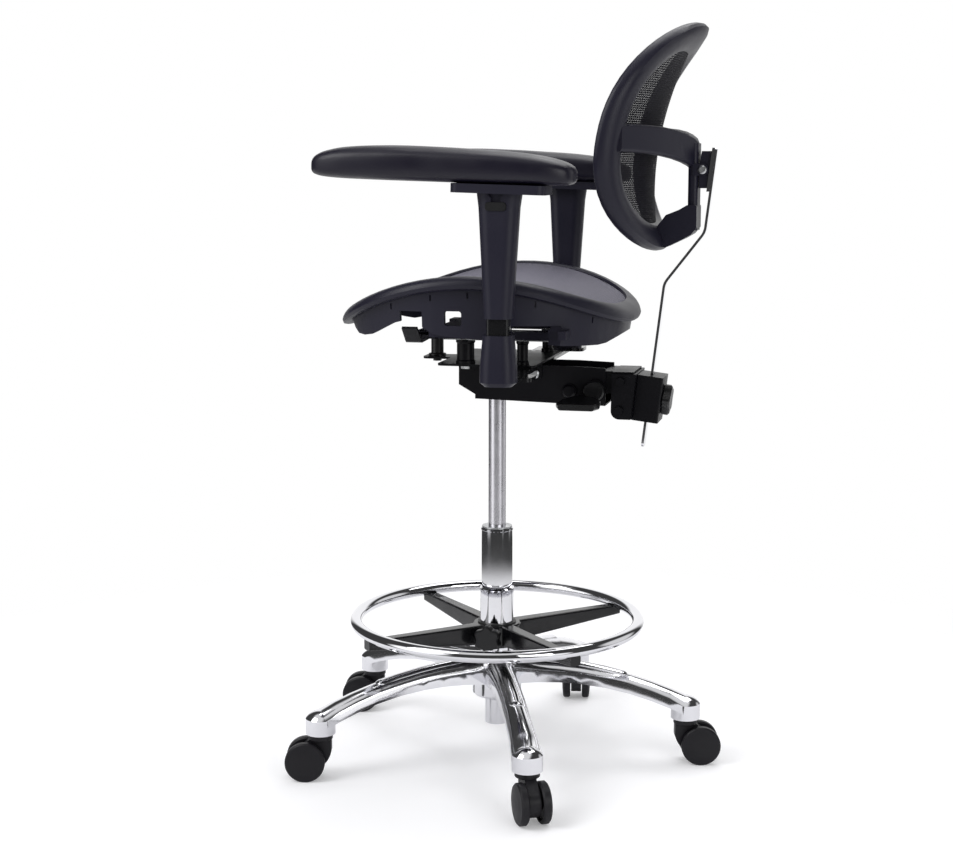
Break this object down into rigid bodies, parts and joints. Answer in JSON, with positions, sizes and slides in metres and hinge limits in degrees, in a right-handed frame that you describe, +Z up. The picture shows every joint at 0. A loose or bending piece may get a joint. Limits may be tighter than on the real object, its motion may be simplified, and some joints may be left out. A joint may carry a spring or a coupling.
{
  "type": "drafting task chair",
  "caption": "Tall task chair with mesh seat and oval mesh back, adjustable arms, chrome foot ring and five-arm caster base",
  "frame": {"origin": "On the floor, on the axis of the gas column", "axes": "+Z up, -Y the way the sitter faces, +X the sitter's left"},
  "size_m": [0.7042, 0.685, 1.169],
  "materials": {
    "chrome": "polished",
    "bright_steel": "plain zinc",
    "black_steel": "satin black",
    "frame_plastic": "fine grain",
    "knob_plastic": "semi-gloss",
    "caster_plastic": "moulded",
    "bush_plastic": "smooth",
    "mesh_weave": "open weave",
    "pad_skin": "soft satin skin"
  },
  "bodies": {
    "base": {"star_base": "chrome", "caster_stems": "bright_steel", "column_tube": "chrome", "column_guide_bush": "bush_plastic", "thrust_bearing": "bright_steel"},
    "caster_1": {"caster_hood_1": "caster_plastic"},
    "caster_wheel_1_a": {"caster_wheel_1_a": "caster_plastic"},
    "caster_wheel_1_b": {"caster_wheel_1_b": "caster_plastic"},
    "caster_2": {"caster_hood_2": "caster_plastic"},
    "caster_wheel_2_a": {"caster_wheel_2_a": "caster_plastic"},
    "caster_wheel_2_b": {"caster_wheel_2_b": "caster_plastic"},
    "caster_3": {"caster_hood_3": "caster_plastic"},
    "caster_wheel_3_a": {"caster_wheel_3_a": "caster_plastic"},
    "caster_wheel_3_b": {"caster_wheel_3_b": "caster_plastic"},
    "caster_4": {"caster_hood_4": "caster_plastic"},
    "caster_wheel_4_a": {"caster_wheel_4_a": "caster_plastic"},
    "caster_wheel_4_b": {"caster_wheel_4_b": "caster_plastic"},
    "caster_5": {"caster_hood_5": "caster_plastic"},
    "caster_wheel_5_a": {"caster_wheel_5_a": "caster_plastic"},
    "caster_wheel_5_b": {"caster_wheel_5_b": "caster_plastic"},
    "foot_ring_slider": {"foot_ring_bush": "bush_plastic"},
    "foot_ring": {"foot_ring_spider": "black_steel", "foot_ring_hoop": "chrome"},
    "foot_ring_knob": {"foot_ring_knob": "knob_plastic"},
    "lift_rod": {"piston_rod": "bright_steel", "column_clip": "bright_steel"},
    "lift": {"gas_cylinder": "chrome", "mechanism_housing": "black_steel", "tilt_pin": "bright_steel", "back_pivot_bolt": "black_steel"},
    "release_pin": {"release_pin": "bright_steel"},
    "height_lever": {"height_lever": "knob_plastic"},
    "back_lock_lever": {"back_lock_lever": "knob_plastic"},
    "seat_carrier": {"seat_plate": "black_steel", "seat_spacers": "black_steel", "seat_rails": "bright_steel", "seat_plate_bolts": "bright_steel"},
    "tension_knob": {"tension_knob": "knob_plastic"},
    "seat": {"seat_frame": "frame_plastic", "seat_mesh": "mesh_weave"},
    "seat_slide_lever": {"seat_slide_lever": "black_steel"},
    "arm_left": {"arm_bracket_left": "black_steel", "arm_socket_left": "frame_plastic"},
    "arm_top_left": {"arm_sleeve_left": "frame_plastic", "arm_pad_left": "pad_skin"},
    "arm_trigger_left": {"arm_trigger_left": "knob_plastic"},
    "arm_right": {"arm_bracket_right": "black_steel", "arm_socket_right": "frame_plastic"},
    "arm_top_right": {"arm_sleeve_right": "frame_plastic", "arm_pad_right": "pad_skin"},
    "arm_trigger_right": {"arm_trigger_right": "knob_plastic"},
    "back_arm": {"back_arm": "black_steel", "back_bracket": "black_steel", "back_bracket_bolts": "bright_steel"},
    "back_bar": {"back_bar": "chrome", "pivot_block": "frame_plastic", "pivot_pin": "bright_steel"},
    "bar_knob": {"bar_knob": "knob_plastic"},
    "backrest": {"back_frame": "frame_plastic", "back_mesh": "mesh_weave"}
  },
  "joints": [
    {"name": "caster_swivel_1", "type": "hinge", "parent": "base", "child": "caster_1", "pos_m": [-0.01617, 0.30858, 0.07], "axis": [0, 0, 1], "continuous": true},
    {"name": "caster_roll_1_a", "type": "hinge", "parent": "caster_1", "child": "caster_wheel_1_a", "pos_m": [-0.02198, 0.33186, 0.0315], "axis": [-0.9703, -0.2419, 0], "continuous": true},
    {"name": "caster_roll_1_b", "type": "hinge", "parent": "caster_1", "child": "caster_wheel_1_b", "pos_m": [-0.02198, 0.33186, 0.0315], "axis": [-0.9703, -0.2419, 0], "continuous": true},
    {"name": "caster_swivel_2", "type": "hinge", "parent": "base", "child": "caster_2", "pos_m": [-0.29847, 0.07998, 0.07], "axis": [0, 0, 1], "continuous": true},
    {"name": "caster_roll_2_a", "type": "hinge", "parent": "caster_2", "child": "caster_wheel_2_a", "pos_m": [-0.32211, 0.07581, 0.0315], "axis": [0.1736, -0.9848, 0], "continuous": true},
    {"name": "caster_roll_2_b", "type": "hinge", "parent": "caster_2", "child": "caster_wheel_2_b", "pos_m": [-0.32211, 0.07581, 0.0315], "axis": [0.1736, -0.9848, 0], "continuous": true},
    {"name": "caster_swivel_3", "type": "hinge", "parent": "base", "child": "caster_3", "pos_m": [-0.16829, -0.25915, 0.07], "axis": [0, 0, 1], "continuous": true},
    {"name": "caster_roll_3_a", "type": "hinge", "parent": "caster_3", "child": "caster_wheel_3_a", "pos_m": [-0.16413, -0.28279, 0.0315], "axis": [0.9848, 0.1736, 0], "continuous": true},
    {"name": "caster_roll_3_b", "type": "hinge", "parent": "caster_3", "child": "caster_wheel_3_b", "pos_m": [-0.16413, -0.28279, 0.0315], "axis": [0.9848, 0.1736, 0], "continuous": true},
    {"name": "caster_swivel_4", "type": "hinge", "parent": "base", "child": "caster_4", "pos_m": [0.19446, -0.24014, 0.07], "axis": [0, 0, 1], "continuous": true},
    {"name": "caster_roll_4_a", "type": "hinge", "parent": "caster_4", "child": "caster_wheel_4_a", "pos_m": [0.19986, -0.26352, 0.0315], "axis": [0.9744, 0.225, 0], "continuous": true},
    {"name": "caster_roll_4_b", "type": "hinge", "parent": "caster_4", "child": "caster_wheel_4_b", "pos_m": [0.19986, -0.26352, 0.0315], "axis": [0.9744, 0.225, 0], "continuous": true},
    {"name": "caster_swivel_5", "type": "hinge", "parent": "base", "child": "caster_5", "pos_m": [0.28848, 0.11074, 0.07], "axis": [0, 0, 1], "continuous": true},
    {"name": "caster_roll_5_a", "type": "hinge", "parent": "caster_5", "child": "caster_wheel_5_a", "pos_m": [0.30967, 0.122, 0.0315], "axis": [-0.4695, 0.8829, 0], "continuous": true},
    {"name": "caster_roll_5_b", "type": "hinge", "parent": "caster_5", "child": "caster_wheel_5_b", "pos_m": [0.30967, 0.122, 0.0315], "axis": [-0.4695, 0.8829, 0], "continuous": true},
    {"name": "foot_ring_height", "type": "slide", "parent": "base", "child": "foot_ring_slider", "axis": [0, 0, 1], "range_m": [-0.012, 0.05]},
    {"name": "foot_ring_turn", "type": "hinge", "parent": "foot_ring_slider", "child": "foot_ring", "pos_m": [0, 0, 0.2], "axis": [0, 0, 1], "continuous": true},
    {"name": "foot_ring_knob_turn", "type": "hinge", "parent": "foot_ring", "child": "foot_ring_knob", "pos_m": [0.05846, -0.00204, 0.204], "axis": [0.9994, -0.0349, 0], "range_deg": [0, 360]},
    {"name": "seat_swivel", "type": "hinge", "parent": "base", "child": "lift_rod", "pos_m": [0, 0, 0.064], "axis": [0, 0, 1], "continuous": true},
    {"name": "seat_lift", "type": "slide", "parent": "lift_rod", "child": "lift", "axis": [0, 0, 1], "range_m": [-0.2, 0.05]},
    {"name": "height_lever_lift", "type": "hinge", "parent": "lift", "child": "height_lever", "pos_m": [-0.045, -0.032, 0.627], "axis": [1, 0, 0], "range_deg": [-6, 0], "stiffness_Nm_per_rad": 2},
    {"name": "release_press", "type": "slide", "parent": "lift", "child": "release_pin", "axis": [0, 0, 1], "range_m": [-0.004, 0]},
    {"name": "back_lock_turn", "type": "hinge", "parent": "lift", "child": "back_lock_lever", "pos_m": [0.045, 0.166, 0.61], "axis": [1, 0, 0], "range_deg": [-12, 0]},
    {"name": "seat_tilt", "type": "hinge", "parent": "lift", "child": "seat_carrier", "pos_m": [0, 0.07, 0.634], "axis": [1, 0, 0], "range_deg": [-8, 0]},
    {"name": "tension_knob_turn", "type": "hinge", "parent": "seat_carrier", "child": "tension_knob", "pos_m": [0, -0.099, 0.66], "axis": [0, 0, 1], "range_deg": [-180, 180]},
    {"name": "seat_depth", "type": "slide", "parent": "seat_carrier", "child": "seat", "axis": [0, 1, 0], "range_m": [-0.03, 0.02]},
    {"name": "seat_slide_lift", "type": "hinge", "parent": "seat", "child": "seat_slide_lever", "pos_m": [0.128, -0.084, 0.6986], "axis": [0, 1, 0], "range_deg": [-8, 0], "stiffness_Nm_per_rad": 1},
    {"name": "arm_width_left", "type": "slide", "parent": "seat_carrier", "child": "arm_left", "axis": [1, 0, 0], "range_m": [-0.005, 0.035]},
    {"name": "arm_height_left", "type": "slide", "parent": "arm_left", "child": "arm_top_left", "axis": [0, 0, 1], "range_m": [-0.022, 0.06]},
    {"name": "arm_trigger_press_left", "type": "slide", "parent": "arm_top_left", "child": "arm_trigger_left", "axis": [-1, 0, 0], "range_m": [0, 0.0035], "stiffness_N_per_m": 300},
    {"name": "arm_width_right", "type": "slide", "parent": "seat_carrier", "child": "arm_right", "axis": [-1, 0, 0], "range_m": [-0.005, 0.035]},
    {"name": "arm_height_right", "type": "slide", "parent": "arm_right", "child": "arm_top_right", "axis": [0, 0, 1], "range_m": [-0.022, 0.06]},
    {"name": "arm_trigger_press_right", "type": "slide", "parent": "arm_top_right", "child": "arm_trigger_right", "axis": [1, 0, 0], "range_m": [0, 0.0035], "stiffness_N_per_m": 300},
    {"name": "back_angle", "type": "hinge", "parent": "lift", "child": "back_arm", "pos_m": [0, 0.125, 0.608], "axis": [1, 0, 0], "range_deg": [-14, 4]},
    {"name": "back_height", "type": "slide", "parent": "back_arm", "child": "back_bar", "axis": [0, 0.1193, 0.9929], "range_m": [-0.06, 0.03]},
    {"name": "bar_knob_turn", "type": "hinge", "parent": "back_arm", "child": "bar_knob", "pos_m": [0, 0.27329, 0.59366], "axis": [0, 0.9929, -0.1193], "range_deg": [0, 360]},
    {"name": "back_pivot", "type": "hinge", "parent": "back_bar", "child": "backrest", "pos_m": [0, 0.324, 0.95], "axis": [1, 0, 0], "range_deg": [-8, 2]}
  ],
  "couplings": [
    {"joint": "release_press", "follows": "height_lever_lift", "m_per_rad": 0.034}
  ]
}
